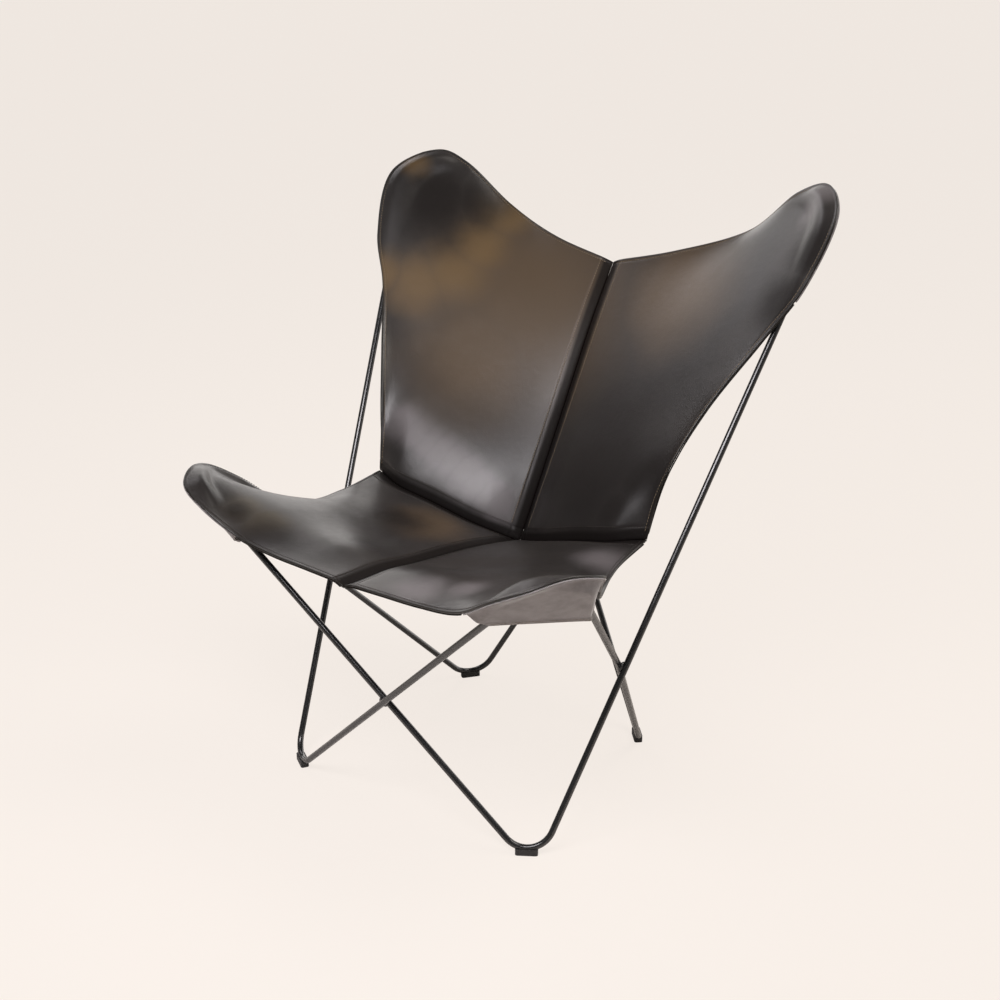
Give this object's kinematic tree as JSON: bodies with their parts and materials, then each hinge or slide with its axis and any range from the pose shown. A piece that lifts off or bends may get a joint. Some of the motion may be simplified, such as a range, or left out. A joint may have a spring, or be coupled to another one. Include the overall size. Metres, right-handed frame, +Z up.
{
  "type": "sling armchair",
  "caption": "Low lounge chair with a leather sling of four sewn panels hung by pockets at its tips on a frame of two crossed bent steel rod loops.",
  "frame": {"origin": "on the floor, under the middle of the bounding box of the whole chair", "axes": "+Z up, -Y to the front of the seat, +X to the right as seen from the front"},
  "size_m": [0.8374, 0.7492, 0.9151],
  "materials": {
    "frame_paint": "semi-gloss black",
    "glide_plastic": "matt",
    "leather": "semi-gloss, smooth grain",
    "pocket_leather": "matt, flesh side out"
  },
  "bodies": {
    "root": {"rod_loop_right_wing": "frame_paint", "rod_loop_left_wing": "frame_paint", "weld_front": "frame_paint", "weld_rear": "frame_paint", "weld_right": "frame_paint", "weld_left": "frame_paint", "glide_front_right": "glide_plastic", "glide_front_left": "glide_plastic", "glide_rear_left": "glide_plastic", "glide_rear_right": "glide_plastic", "panel_back_right": "leather", "panel_back_left": "leather", "panel_seat_right": "leather", "panel_seat_left": "leather", "pocket_rear_right": "pocket_leather", "pocket_rear_left": "pocket_leather", "pocket_front_right": "pocket_leather", "pocket_front_left": "pocket_leather", "strip_top_right": "leather", "strip_top_left": "leather", "strip_back_side_right": "leather", "strip_back_side_left": "leather", "strip_front_right": "leather", "strip_front_left": "leather", "strip_seat_side_right": "leather", "strip_seat_side_left": "leather", "strip_cross_right": "leather", "strip_cross_left": "leather", "strip_back_centre": "leather", "strip_seat_centre": "leather"}
  },
  "joints": []
}
